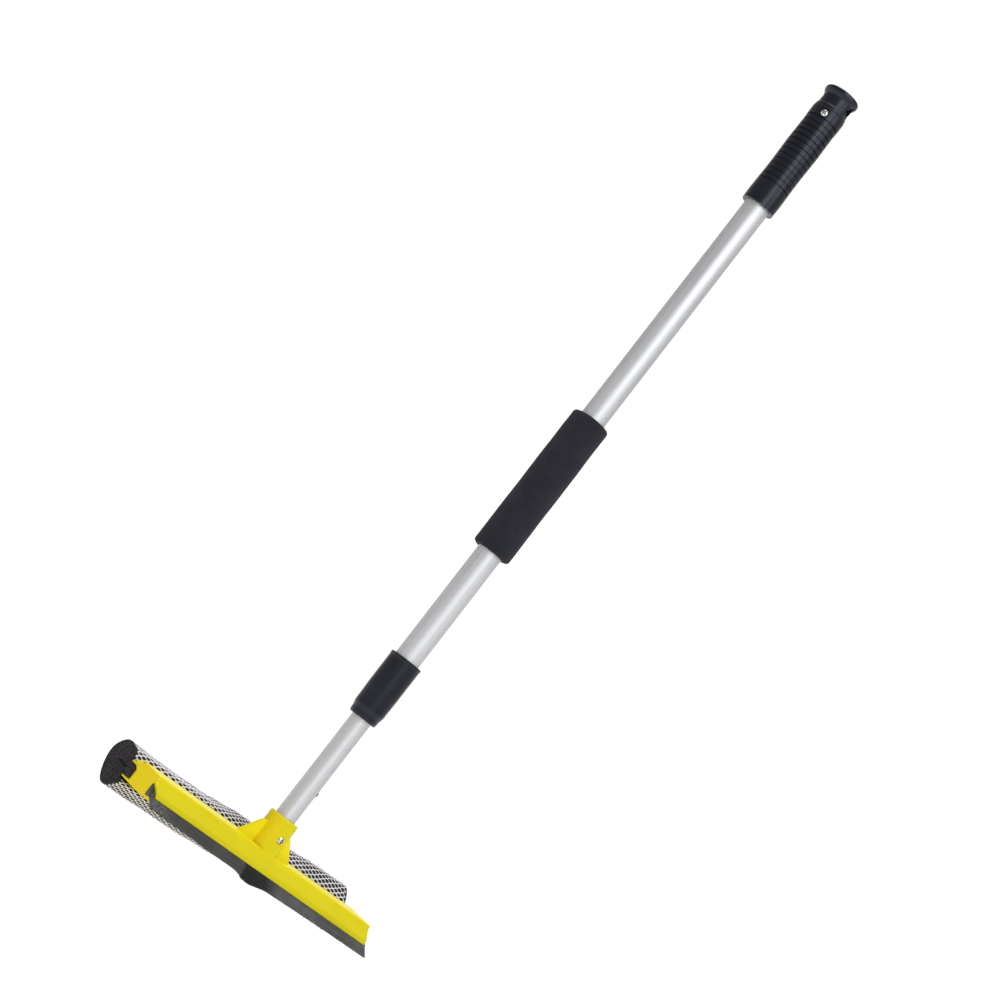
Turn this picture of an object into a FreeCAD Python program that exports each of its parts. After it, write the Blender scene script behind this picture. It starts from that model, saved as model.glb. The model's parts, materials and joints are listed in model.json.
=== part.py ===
"""Window cleaning squeegee on a telescopic pole.

A yellow moulded head carries a rubber blade along its front and a netted sponge along its back.
The head is screwed to a thin aluminium tube, which slides in a wider one and is locked there by
an eccentric ring: turning the thin tube a quarter turn frees it. The wide tube has a foam sleeve
half way up and a ribbed grip with a hanging hole at its top.

+Z runs up the pole, X along the head, and the blade faces -Y. Heights below are measured up from
the mouth of the head's socket; save() then puts the origin at the hanging hole's centre.
"""
import FreeCAD, Part
import math
import os

V = FreeCAD.Vector
UP = V(0, 0, 1)

# ---- driving dimensions, mm ----
HANG_HOLE_Z = 817.0     # hanging hole, above the socket's mouth

# head
BAR_LENGTH = 294.0
BAR_TOP_Z = -33.0
SOCKET_R = 14.6
SOCKET_FLOOR_Z = -37.5  # the lower tube stands on this
BACK_WEB_Y = 18.0       # bottom of the sponge channel
BACK_LIP_Y = 30.5       # mouth of the sponge channel
CHANNEL_Z = (-52.0, -39.5)
GUSSET_THICK = 4.0
POCKET_DEPTH = 15.0
RELIEF_Z = (-50.3, -40.4)   # of the bevel at the left end of the slot's front lip
RELIEF_X = 3.7
RELIEF_Y = (-30.0, -13.2)

# rubber blade
RUBBER_LENGTH = 297.0
RUBBER_SHIFT = 1.0      # it is not quite centred in its slot
SLOT_GAP = 0.15         # between the rubber's bead and the slot
BLADE_ANGLE = 40.0      # of the blade below level, towards -Y
BLADE_REACH = 12.0
BLADE_ROOT, BLADE_EDGE = 3.0, 1.4

# sponge and net
SPONGE_LENGTH = 296.0
SPONGE_FRONT_Y = BACK_LIP_Y + 1.0
NET_LENGTH = 294.0
NET_THICK = 0.8

# pole
LOWER_R, UPPER_R, WALL = 10.0, 12.5, 1.2
LOWER_BORE_R, UPPER_BORE_R = LOWER_R - WALL, UPPER_R - WALL
LOWER_TOP_Z = 602.5
UPPER_BOTTOM_Z, UPPER_TOP_Z = 124.0, 805.0
COLLAR_Z = (109.5, 174.5)
FOAM_Z = (296.0, 447.0)
FOAM_R = 19.0
GRIP_Z = (697.0, 807.5)
GRIP_R = 16.8           # at its foot, its swell and its shoulder
GROOVE_COUNT, GROOVE_FIRST_Z, GROOVE_PITCH = 14, 720.5, 5.8
GROOVE_DEPTH = 1.2
CAP_TOP_Z = 830.0
SCREW_TURN = -54.6      # degrees about the pole, from -Y, of the grip's screw

# collar, its bush and its wiper
BUSH_FLANGE_Z = UPPER_BOTTOM_Z - 1.5
WIPER_Z = (113.0, 117.0)

# hanging cap
NECK_R, NECK_FLAT = 15.3, 12.5
NECK_LOW_Z, FLANGE_Z = 812.0, 822.0
FLANGE_R = 17.7
HANG_HOLE_R = 4.0

# screws and button
SOCKET_SCREW_Z = -18.0
GRIP_SCREW_Z = 801.0
SHANK_R, SHANK_HOLE_R = 1.75, 1.85
BUTTON_Z, BUTTON_R, BUTTON_PROUD = 32.5, 4.0, 3.2
BUTTON_FOOT_X = 5.8

# twist lock in the top of the lower tube
OFFSET = 0.5            # of the journal from the pole's axis
JOURNAL_R = 5.5
LOCK_RING_R = 10.5
RUN_GAP = 0.05          # radial running clearance
LOCK_RING_LENGTH = 15.6
PIN_R, PIN_Z = 1.5, LOWER_TOP_Z - 13
DRAG_Z = LOWER_TOP_Z + 3.0
DRAG_GROOVE, DRAG_GROOVE_R = 4.0, 8.0
JOURNAL_Z = DRAG_Z + DRAG_GROOVE + 2.0
LOCK_CAP_Z = JOURNAL_Z + LOCK_RING_LENGTH + 0.4


# ---- helpers ----
def save(name, shape):
    """Writes a shape with the hanging hole at the origin."""
    shape = shape.copy()
    shape.translate(V(0, 0, -HANG_HOLE_Z))
    shape.exportStep(os.path.join("parts", name + ".step"))


def rod(radius, z0, z1, x=0.0, y=0.0):
    return Part.makeCylinder(radius, z1 - z0, V(x, y, z0))


def tube(outer, inner, z0, z1):
    return rod(outer, z0, z1).cut(rod(inner, z0, z1))


def cross_rod(radius, start, length, direction):
    return Part.makeCylinder(radius, length, start, direction)


def along_x(points, length):
    """A closed outline of (y, z) points, pushed out to a length centred on x = 0."""
    ring = [V(-length / 2, y, z) for y, z in points]
    face = Part.Face(Part.makePolygon(ring + ring[:1]))
    return face.extrude(V(length, 0, 0))


def turned(points):
    """A closed outline of (radius, z) points, turned about the pole's axis."""
    ring = [V(r, 0, z) for r, z in points]
    face = Part.Face(Part.makePolygon(ring + ring[:1]))
    return face.revolve(V(0, 0, 0), UP, 360)


def heading(degrees):
    """The level direction at this turn from -Y; positive turns are towards +X."""
    a = math.radians(degrees)
    return V(math.sin(a), -math.cos(a), 0)


def pan_screw(head_r, head_height, shank_r, shank_length):
    """A pan-head screw with a cross recess: the head's seat is at the origin, the shank along -Z."""
    dome_r = (head_r ** 2 + head_height ** 2) / (2 * head_height)
    ball = Part.makeSphere(dome_r, V(0, 0, head_height - dome_r))
    head = ball.common(rod(head_r, 0, head_height + 1))
    arm, width = head_r * 0.62, head_r * 0.24
    for wide, deep in ((arm, width), (width, arm)):
        head = head.cut(Part.makeBox(2 * wide, 2 * deep, head_height, V(-wide, -deep, head_height * 0.35)))
    tip = Part.makeCone(0.4, shank_r, shank_r, V(0, 0, -shank_length))
    return head.fuse([rod(shank_r, shank_r - shank_length, 0), tip]).removeSplitter()


def aimed(shape, at, direction):
    """Turns a shape made along +Z so that +Z points along a direction, and moves it."""
    shape = shape.copy()
    shape.Placement = FreeCAD.Placement(at, FreeCAD.Rotation(UP, direction))
    return shape


# ---- head ----
# The rubber's arrow-shaped bead, seen from the end.
BEAD = [(-13.3, -40.4), (-12.2, -42.0), (-12.2, -51.8), (-14.0, -52.4), (-17.0, -51.6)]
BLADE_START = (-21.0, -50.8)


def blade_line(step):
    """Points above and below the blade's middle line, at this part of its reach from the slot."""
    a = math.radians(BLADE_ANGLE)
    along, across = (-math.cos(a), -math.sin(a)), (-math.sin(a), math.cos(a))
    half = (BLADE_ROOT + (BLADE_EDGE - BLADE_ROOT) * step) / 2
    middle = [s + BLADE_REACH * step * d for s, d in zip(BLADE_START, along)]
    return [(middle[0] + sign * half * across[0], middle[1] + sign * half * across[1]) for sign in (1, -1)]


def rubber_outline():
    tip_top, tip_low = blade_line(1.0)
    root_top, root_low = blade_line(0.0)
    return BEAD + [root_low, tip_low, tip_top, root_top]


def rubber_blade():
    strip = along_x(rubber_outline(), RUBBER_LENGTH)
    strip.translate(V(RUBBER_SHIFT, 0, 0))
    return strip


def bar_outline():
    """The bar's end view, with the sponge channel and the rubber's slot open to it."""
    front = [(-22.8, -49.2), (-22.2, -45.2), (-15.4, -37.6), (-14.0, BAR_TOP_Z)]
    top = [(BACK_WEB_Y, BAR_TOP_Z + 1.4), (22.5, BAR_TOP_Z - 0.8), (25.0, -36.6), (BACK_LIP_Y, -37.2)]
    channel = [(BACK_LIP_Y, -38.7), (BACK_WEB_Y + 4, CHANNEL_Z[1] + 0.3), (BACK_WEB_Y, CHANNEL_Z[1] - 2.2),
               (BACK_WEB_Y, CHANNEL_Z[0]), (BACK_LIP_Y, CHANNEL_Z[0] - 0.2)]
    base = [(BACK_LIP_Y, -53.6), (3.0, -55.2), (-18.2, -54.9), (-20.3, -53.4)]
    return front + top + channel + base


def slot_cutter():
    """The rubber's own outline, a little larger, run through the bar."""
    outline = rubber_outline()
    wire = Part.makePolygon([V(0, y, z) for y, z in outline + outline[:1]])
    grown = wire.makeOffset2D(SLOT_GAP)
    face = Part.Face(grown)
    face.translate(V(-BAR_LENGTH / 2 - 1, 0, 0))
    return face.extrude(V(BAR_LENGTH + 2, 0, 0))


def lip_relief():
    """The bevel at the left end of the slot's front lip, which leaves the rubber's bead showing."""
    end, (low, top), (front, back) = -BAR_LENGTH / 2, RELIEF_Z, RELIEF_Y
    outline = [(end - 1, top), (end, top), (end + RELIEF_X, low), (end - 1, low)]
    ring = [V(x, front, z) for x, z in outline]
    return Part.Face(Part.makePolygon(ring + ring[:1])).extrude(V(0, back - front, 0))


def round_bar(bar):
    """Softens the long edges that a hand meets."""
    def long_edge(y, z):
        return [e for e in bar.Edges
                if abs(e.Length - BAR_LENGTH) < 0.1
                and abs(e.CenterOfMass.y - y) < 0.1 and abs(e.CenterOfMass.z - z) < 0.1]
    for y, z, radius in ((-14.0, BAR_TOP_Z, 1.2), (-15.4, -37.6, 3.0), (-22.2, -45.2, 1.5),
                         (BACK_WEB_Y, BAR_TOP_Z + 1.4, 1.5), (BACK_LIP_Y, -37.2, 0.6)):
        bar = bar.makeFillet(radius, long_edge(y, z))
    return bar


def gussets():
    """The two triangular webs between socket and bar."""
    half = [(12.0, -10.5), (15.5, -10.5), (19.0, -12.5), (35.6, BAR_TOP_Z), (35.6, -36.0), (12.0, -36.0)]
    webs = []
    for side in (1, -1):
        ring = [V(side * x, -GUSSET_THICK / 2, z) for x, z in half]
        webs.append(Part.Face(Part.makePolygon(ring + ring[:1])).extrude(V(0, GUSSET_THICK, 0)))
    return webs


def pockets():
    """Moulding pockets in the bar's underside, either side of the socket, with ribs between them."""
    pitch, rib, low, y0, y1 = 31.5, 2.4, -57.0, -6.6, BACK_WEB_Y - 3.0
    boxes = []
    for side in (1, -1):
        for i in range(4):
            near = 18.0 + i * pitch
            x0 = near if side > 0 else -near - (pitch - rib)
            boxes.append(Part.makeBox(pitch - rib, y1 - y0, POCKET_DEPTH, V(x0, y0, low)))
    return boxes


def head():
    bar = round_bar(along_x(bar_outline(), BAR_LENGTH))
    # a slightly tapered socket, as it comes out of its mould, standing on the bar
    socket = turned([(0, 0), (SOCKET_R - 0.8, 0), (SOCKET_R, -0.8), (SOCKET_R + 0.3, -45), (0, -45)])
    body = bar.fuse([socket] + gussets())
    body = body.cut([rod(LOWER_R + RUN_GAP, SOCKET_FLOOR_Z, 1), slot_cutter(), lip_relief()] + pockets())
    body = body.cut(cross_rod(SHANK_HOLE_R, V(0, -20, SOCKET_SCREW_Z), 20, V(0, 1, 0)))
    # spot face for the screw's head
    body = body.cut(cross_rod(3.9, V(0, -20, SOCKET_SCREW_Z), 20 - SOCKET_R + 0.3, V(0, 1, 0)))
    return body.removeSplitter()


def socket_screw():
    return aimed(pan_screw(3.4, 2.1, SHANK_R, 12.0), V(0, -SOCKET_R + 0.3, SOCKET_SCREW_Z), V(0, -1, 0))


# ---- sponge and net ----
def sponge_outline(grow=0.0):
    """The sponge's cap, seen from the end, from its upper lobe round the back to its lower one."""
    outer = [(SPONGE_FRONT_Y, -35.0), (34.5, -29.0), (41.0, -25.2), (49.5, -23.6), (57.0, -27.0),
             (62.0, -33.5), (64.3, -41.0), (63.9, -47.5), (60.9, -55.5), (55.0, -63.2), (48.0, -67.8),
             (40.0, -67.2), (31.5, -63.0), (26.0, -58.4)]
    centre = (47.0, -47.0)
    out = []
    for y, z in outer:
        dy, dz = y - centre[0], z - centre[1]
        size = math.hypot(dy, dz)
        out.append((y + grow * dy / size, z + grow * dz / size))
    return out


def cap_solid(grow, length):
    outer = sponge_outline(grow)
    curve = Part.BSplineCurve()
    curve.interpolate([V(-length / 2, y, z) for y, z in outer])
    notch = V(-length / 2, SPONGE_FRONT_Y - grow, -54.8 - grow)
    front = Part.makePolygon([curve.EndPoint, notch, curve.StartPoint])
    return Part.Face(Part.Wire([curve.toShape()] + front.Edges)).extrude(V(length, 0, 0))


def sponge():
    """The cap and the stem that is pushed into the channel."""
    cap = cap_solid(-NET_THICK, SPONGE_LENGTH)
    stem_low, stem_high = CHANNEL_Z[0] + 0.2, CHANNEL_Z[1] - 2.4
    corner = V(-SPONGE_LENGTH / 2, BACK_WEB_Y + 0.3, stem_low)
    stem = Part.makeBox(SPONGE_LENGTH, 20.0, stem_high - stem_low, corner)
    return cap.fuse(stem).removeSplitter()


def sponge_net():
    """The net's outer shape as one thin skin round the cap, open at the ends and at the lips."""
    skin = cap_solid(0.0, NET_LENGTH).cut(cap_solid(-NET_THICK + 0.02, NET_LENGTH + 2))
    gap = Part.makeBox(NET_LENGTH + 4, 13.0, 22.2, V(-NET_LENGTH / 2 - 2, SPONGE_FRONT_Y - 11.5, -58.2))
    return skin.cut(gap)


# ---- pole ----
def lower_tube():
    body = tube(LOWER_R, LOWER_BORE_R, SOCKET_FLOOR_Z + 0.1, LOWER_TOP_Z)
    body = body.cut(cross_rod(SHANK_HOLE_R, V(0, -20, SOCKET_SCREW_Z), 20, V(0, 1, 0)))
    body = body.cut(cross_rod(BUTTON_R + RUN_GAP, V(0, 0, BUTTON_Z), 20, V(1, 0, 0)))
    return body.cut(cross_rod(PIN_R, V(0, -20, PIN_Z), 40, V(0, 1, 0)))


def tube_plug():
    """The plug in the foot of the lower tube, which the socket's screw bites into."""
    body = rod(LOWER_BORE_R - 0.03, SOCKET_FLOOR_Z + 0.2, 6.0)
    body = body.cut(rod(5.5, SOCKET_SCREW_Z + 6, 7.0))
    return body.cut(cross_rod(SHANK_R + RUN_GAP, V(0, -20, SOCKET_SCREW_Z), 20.5, V(0, 1, 0)))


def snap_button():
    """A domed button with a wide foot inside the tube, which keeps it from falling out."""
    reach = LOWER_R + BUTTON_PROUD - BUTTON_R
    stem = cross_rod(BUTTON_R, V(BUTTON_FOOT_X, 0, BUTTON_Z), reach - BUTTON_FOOT_X, V(1, 0, 0))
    dome = Part.makeSphere(BUTTON_R, V(reach, 0, BUTTON_Z), V(1, 0, 0), 0, 90)
    foot = Part.makeBox(1.6, 9.0, 12.0, V(BUTTON_FOOT_X, -4.5, BUTTON_Z - 6.0))
    return stem.fuse([dome, foot]).removeSplitter()


def button_spring():
    """A bent leaf: one leg lies on the far wall of the tube, the other under the button's foot."""
    half_width, thick, turn_z, low_z = 3.5, 0.5, BUTTON_Z + 24, BUTTON_Z - 5
    near, far = BUTTON_FOOT_X - 0.1, -8.0
    outline = [(near, low_z), (near, BUTTON_Z + 5), (far + 3.0, turn_z), (far, turn_z), (far, low_z),
               (far + thick, low_z), (far + thick, turn_z - thick), (far + 2.7, turn_z - thick),
               (near - thick, BUTTON_Z + 4.8), (near - thick, low_z)]
    ring = [V(x, -half_width, z) for x, z in outline]
    return Part.Face(Part.makePolygon(ring + ring[:1])).extrude(V(0, 2 * half_width, 0))


def upper_tube():
    body = tube(UPPER_R, UPPER_BORE_R, UPPER_BOTTOM_Z, UPPER_TOP_Z)
    way = heading(SCREW_TURN)
    return body.cut(cross_rod(SHANK_HOLE_R, V(0, 0, GRIP_SCREW_Z), 20, way))


# ---- twist lock ----
def lock_core():
    """The core pinned in the lower tube's top: flange, drag-ring groove and eccentric journal."""
    body = rod(LOWER_BORE_R - 0.03, LOWER_TOP_Z - 26, LOWER_TOP_Z)
    body = body.fuse([rod(LOWER_R, LOWER_TOP_Z, DRAG_Z), rod(DRAG_GROOVE_R, DRAG_Z, DRAG_Z + DRAG_GROOVE),
                      rod(LOWER_R, DRAG_Z + DRAG_GROOVE, JOURNAL_Z),
                      rod(JOURNAL_R, JOURNAL_Z, LOCK_CAP_Z, OFFSET, 0)])
    body = body.cut(cross_rod(PIN_R, V(0, -20, PIN_Z), 40, V(0, 1, 0)))
    body = body.cut(rod(3.0, LOWER_TOP_Z - 27, LOWER_TOP_Z - 18))
    return body.cut(rod(1.45, LOCK_CAP_Z - 14, LOCK_CAP_Z + 1, OFFSET, 0)).removeSplitter()


def core_pin():
    """A slit roll pin through tube and core."""
    half = LOWER_R - 0.2
    body = cross_rod(PIN_R, V(0, -half, PIN_Z), 2 * half, V(0, 1, 0))
    body = body.cut(cross_rod(PIN_R - 0.5, V(0, -half - 1, PIN_Z), 2 * half + 2, V(0, 1, 0)))
    return body.cut(Part.makeBox(0.4, 2 * half + 2, 2 * PIN_R, V(-0.2, -half - 1, PIN_Z)))


def drag_ring():
    """The rubber ring that rubs on the upper tube's bore."""
    ring = tube(UPPER_BORE_R - 0.1, DRAG_GROOVE_R + RUN_GAP, DRAG_Z + 0.2, DRAG_Z + DRAG_GROOVE - 0.2)
    rims = [e for e in ring.Edges if abs(e.Length - 2 * math.pi * (UPPER_BORE_R - 0.1)) < 0.1]
    return ring.makeFillet(1.2, rims)


def lock_ring():
    """The slit cam ring: its bore is on the journal, its outside off centre, with shallow grip flutes."""
    z0 = JOURNAL_Z + 0.2
    z1 = z0 + LOCK_RING_LENGTH
    body = rod(LOCK_RING_R, z0, z1, OFFSET, -OFFSET).cut(rod(JOURNAL_R + RUN_GAP, z0, z1, OFFSET, 0))
    body = body.cut(Part.makeBox(2.0, 20.0, LOCK_RING_LENGTH, V(OFFSET - 1.0, 3.0, z0)))
    flutes = []
    for i in range(18):
        a = math.radians(i * 20)
        flutes.append(rod(0.5, z0, z1, OFFSET + (LOCK_RING_R + 0.2) * math.cos(a),
                          -OFFSET + (LOCK_RING_R + 0.2) * math.sin(a)))
    return body.cut(flutes)


def lock_cap():
    """The end plate that keeps the ring on its journal."""
    z1 = LOCK_CAP_Z + 4.0
    plate = turned([(0, LOCK_CAP_Z), (LOWER_R, LOCK_CAP_Z), (LOWER_R, z1 - 1.5), (LOWER_R - 1.5, z1),
                    (0, z1)])
    return plate.cut(rod(1.6, LOCK_CAP_Z - 1, z1 + 1, OFFSET, 0))


def lock_screw():
    return aimed(pan_screw(2.8, 1.8, 1.4, 14.0), V(OFFSET, 0, LOCK_CAP_Z + 4.0), UP)


# ---- collar ----
def lock_collar():
    """The moulded collar pressed over the upper tube's mouth, with a groove for the wiper."""
    low, high = COLLAR_Z
    outer = [(13.4, low), (14.1, low + 2.5), (14.2, low + 5.5), (15.5, low + 11.0), (15.5, low + 16.0),
             (15.85, low + 30.0), (15.9, high - 4.0), (16.2, high - 1.5), (16.2, high - 0.4), (15.8, high)]
    inner = [(UPPER_R, high), (UPPER_R, BUSH_FLANGE_Z), (10.7, BUSH_FLANGE_Z), (10.7, WIPER_Z[1]),
             (12.0, WIPER_Z[1]), (12.0, WIPER_Z[0]), (10.7, WIPER_Z[0]), (10.7, low)]
    return turned(outer + inner)


def guide_bush():
    """The slippery bush in the upper tube's mouth. Its top is also the stop for full extension."""
    flange = tube(UPPER_R - 0.05, LOWER_R + RUN_GAP, BUSH_FLANGE_Z, UPPER_BOTTOM_Z)
    sleeve = tube(UPPER_BORE_R - 0.03, LOWER_R + RUN_GAP, BUSH_FLANGE_Z, UPPER_BOTTOM_Z + 30.0)
    return flange.fuse(sleeve).removeSplitter()


def wiper_ring():
    return tube(11.95, LOWER_R + 0.08, WIPER_Z[0] + 0.1, WIPER_Z[1] - 0.1)


# ---- grips ----
def foam_grip():
    body = tube(FOAM_R, UPPER_R + 0.02, *FOAM_Z)
    rims = [e for e in body.Edges if abs(e.Length - 2 * math.pi * FOAM_R) < 0.1]
    return body.makeFillet(3.5, rims)


def top_grip():
    """The ribbed sleeve: a plain band at its foot, then close grooves over a slight swell."""
    low, high = GRIP_Z
    outer = [(GRIP_R - 0.25, low), (GRIP_R, low + 9), (GRIP_R, low + 15)]
    outer += [(GRIP_R - 0.5, low + 35), (GRIP_R - 0.5, low + 46), (GRIP_R, low + 69),
              (GRIP_R - 0.4, low + 94), (GRIP_R, low + 103), (GRIP_R, high - 1.0), (GRIP_R - 0.3, high)]
    body = turned([(UPPER_R + 0.02, low)] + outer + [(UPPER_R + 0.02, high)])
    floor_r, open_r = GRIP_R - GROOVE_DEPTH, GRIP_R + 1
    for i in range(GROOVE_COUNT):
        z = GROOVE_FIRST_Z + i * GROOVE_PITCH
        groove = [(open_r, z - 1.0), (floor_r, z - 0.3), (floor_r, z + 0.3), (open_r, z + 1.0)]
        body = body.cut(turned(groove))
    screw_hole = cross_rod(SHANK_HOLE_R, V(0, 0, GRIP_SCREW_Z), 25, heading(SCREW_TURN))
    return body.cut([screw_hole, grip_spot_face()])


def grip_spot_face():
    start = V(0, 0, GRIP_SCREW_Z) + heading(SCREW_TURN) * (GRIP_R - 1.0)
    return cross_rod(4.0, start, 10, heading(SCREW_TURN))


def hanger_cap():
    """The plug in the tube, the flat-sided neck with the hanging hole, and the flanged top."""
    low, seat = 772.0, GRIP_Z[1] + 0.05
    plug = rod(UPPER_BORE_R - 0.03, low, UPPER_TOP_Z + 0.1)
    land = rod(UPPER_R - 0.02, UPPER_TOP_Z + 0.1, seat)
    neck = turned([(0, seat), (GRIP_R - 0.3, seat), (GRIP_R - 0.6, NECK_LOW_Z - 2.0), (NECK_R, NECK_LOW_Z),
                   (NECK_R, FLANGE_Z), (0, FLANGE_Z)])
    flange = turned([(0, FLANGE_Z - 0.5), (NECK_R, FLANGE_Z - 0.5), (NECK_R + 0.2, FLANGE_Z),
                     (FLANGE_R - 0.8, FLANGE_Z + 1.9), (FLANGE_R, FLANGE_Z + 3.8),
                     (FLANGE_R, CAP_TOP_Z - 1.8), (FLANGE_R - 0.7, CAP_TOP_Z - 0.7), (13.0, CAP_TOP_Z),
                     (0, CAP_TOP_Z)])
    body = plug.fuse([land, neck, flange])
    body = body.cut(rod(8.0, low - 1, GRIP_SCREW_Z - 9))
    way = heading(SCREW_TURN + 90)
    for side in (1, -1):
        body = body.cut(neck_flat(way * side))
    body = body.cut(cross_rod(HANG_HOLE_R, V(0, 0, HANG_HOLE_Z) - way * 30, 60, way))
    body = body.cut(cross_rod(SHANK_R + RUN_GAP, V(0, 0, GRIP_SCREW_Z), 25, heading(SCREW_TURN)))
    return body.removeSplitter()


def neck_flat(way):
    """A slot-shaped recess beside the hanging hole, which gives it a flat mouth."""
    block = Part.makeBox(12.0, 9.6, 10.0, V(-6.0, -4.8, 0))
    return aimed(block, V(0, 0, HANG_HOLE_Z) + way * NECK_FLAT, way)


def grip_screw():
    way = heading(SCREW_TURN)
    return aimed(pan_screw(3.7, 2.2, SHANK_R, 12.0), V(0, 0, GRIP_SCREW_Z) + way * (GRIP_R - 1.0), way)


NODES = [head, socket_screw, rubber_blade, sponge, sponge_net, lower_tube, tube_plug, snap_button,
         button_spring, lock_core, core_pin, drag_ring, lock_ring, lock_cap, lock_screw, upper_tube,
         lock_collar, guide_bush, wiper_ring, foam_grip, top_grip, hanger_cap, grip_screw]

os.makedirs("parts", exist_ok=True)
for node in NODES:
    shape = node()
    print(f"{node.__name__:14s} solids {len(shape.Solids)}, valid {shape.isValid()}")
    save(node.__name__, shape)
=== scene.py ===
"""Window cleaning squeegee on a telescopic pole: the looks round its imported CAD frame.

The row frame is in metres, with the hanging hole at the origin, +Z up the pole, X along the head and
the blade towards -Y. Sections of the head are written in millimetres, as (y, z) with z counted from
the mouth of the head's socket, and head_point() takes them to the row frame.
"""
import json
import math

import bpy
import numpy as np
from mathutils import Matrix, Vector, geometry, noise


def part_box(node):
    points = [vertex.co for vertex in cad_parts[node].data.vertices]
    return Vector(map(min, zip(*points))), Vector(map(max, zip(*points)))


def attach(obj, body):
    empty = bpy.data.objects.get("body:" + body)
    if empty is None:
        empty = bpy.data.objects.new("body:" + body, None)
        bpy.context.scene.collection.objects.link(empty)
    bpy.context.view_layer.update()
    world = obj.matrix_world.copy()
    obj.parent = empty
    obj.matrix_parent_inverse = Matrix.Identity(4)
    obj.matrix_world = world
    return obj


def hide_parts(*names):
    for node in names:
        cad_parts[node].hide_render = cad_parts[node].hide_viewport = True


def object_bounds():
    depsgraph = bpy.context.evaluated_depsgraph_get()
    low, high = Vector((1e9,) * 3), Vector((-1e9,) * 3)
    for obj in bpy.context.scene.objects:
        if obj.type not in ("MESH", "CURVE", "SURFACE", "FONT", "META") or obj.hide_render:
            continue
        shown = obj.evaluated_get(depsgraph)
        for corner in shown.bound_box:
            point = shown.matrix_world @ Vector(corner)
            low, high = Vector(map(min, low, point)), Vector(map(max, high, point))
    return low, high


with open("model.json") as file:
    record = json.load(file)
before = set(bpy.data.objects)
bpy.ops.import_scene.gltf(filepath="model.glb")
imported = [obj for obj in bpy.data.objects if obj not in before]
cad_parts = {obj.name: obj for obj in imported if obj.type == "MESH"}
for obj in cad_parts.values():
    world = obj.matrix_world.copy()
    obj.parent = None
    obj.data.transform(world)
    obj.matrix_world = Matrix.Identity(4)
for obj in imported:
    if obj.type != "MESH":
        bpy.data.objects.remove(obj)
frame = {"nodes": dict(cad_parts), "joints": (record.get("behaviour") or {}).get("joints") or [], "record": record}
cad_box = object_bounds()

MM = 0.001
MOUTH_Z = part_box("head")[1].z
FOAM_LOW, FOAM_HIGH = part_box("foam_grip")
BAR_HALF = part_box("head")[1].x / MM
SOCKET_REACH = 0.0150      # along X the socket lies within this of the pole's axis, and the webs beyond it
SPAN_STEPS = 24            # points on a smooth line between two of its given points

# ---- the head's soft parts, mm ----
SPONGE_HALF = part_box("sponge")[1].x / MM
NET_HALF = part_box("sponge_net")[1].x / MM
FOAM_UNDER_NET = 0.5
SPONGE_CAP = [(31.5, -35.0), (34.5, -29.0), (41.0, -25.2), (49.5, -23.6), (57.0, -27.0), (62.0, -33.5),
              (64.3, -41.0), (63.9, -47.5), (60.9, -55.5), (55.0, -63.2), (48.0, -67.8), (40.0, -67.2),
              (31.5, -63.0), (26.0, -58.4)]
SPONGE_STEM = [(31.2, -54.9), (30.6, -51.7), (18.3, -51.7), (18.3, -42.0), (22.0, -39.7), (31.0, -39.2)]
CAP_CENTRE = (47.0, -47.0)
CAP_POINTS, STEM_POINTS, SPONGE_RINGS = 130, 40, 150
FACE_SPACING = 1.1                      # of the points that fill the sponge's ends
SLIT = ((31.5, -45.4), (49.0, -44.4))   # where the folded foam meets, in its end
SLIT_DEEP, SLIT_WIDE = 3.0, 0.6

NET_TUCKED_TOP, NET_TUCKED_LOW = (31.9, -37.6), (30.8, -56.0)   # where it goes into the bar
NET_PATH_POINTS = 240
NET_ROW, NET_PERIOD = 2.1, 9.6          # from strand to strand, and from one crest of a strand to the next
NET_WIDE, NET_DEEP = 0.56, 0.27         # half the strand's width and depth
NET_CLEAR = 0.08                        # the strands' outer side is this far inside SPONGE_CAP
NET_END = 0.8                           # from the strands' ends to the CAD net's
NET_STEPS_A_PERIOD, NET_SIDES = 8, 6

BEAD = [(-17.0, -51.6), (-14.0, -52.4), (-12.2, -51.8), (-12.2, -42.0), (-13.3, -40.4)]
BLADE_START = (-21.0, -50.8)
BLADE_REACH = 12.0
BLADE_ROOT, BLADE_EDGE = 3.0, 1.4       # its thickness
BLADE_HALF, BLADE_SHIFT = 148.5, 1.0
BLADE_STEPS, BLADE_SPACING = 9, 1.5     # down the strip, and along it
BLADE_ANGLE = 40.0                      # below level, where the strip leaves the slot, degrees
# how far below level the warped blade hangs, degrees, along X in mm
BLADE_HANG = [(-150, 30), (-141, 34), (-132, 39), (-118, 41), (-96, 41), (-72, 49), (-45, 49),
              (-33, 52), (-26, 64), (-19, 96), (-12, 84), (-4, 61), (8, 53), (31, 50), (54, 45),
              (78, 39), (102, 38), (126, 36), (150, 36)]
KINK_X, KINK_WIDE = -18.0, 7.0          # where the strip is creased
SLACK_X, SLACK_WIDE = -10.0, 13.0       # where it is fuller

# ---- foam grip, metres ----
FOAM_CLEAR = 0.0002                     # between the sleeve and the tube
FOAM_RIM = 0.0036                       # radius of its outer edges
FOAM_BEVEL = (0.001, 0.0004)            # of its inner edges, outwards and along the pole
FOAM_TURNS, FOAM_RINGS, RIM_STEPS = 144, 118, 6

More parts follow.
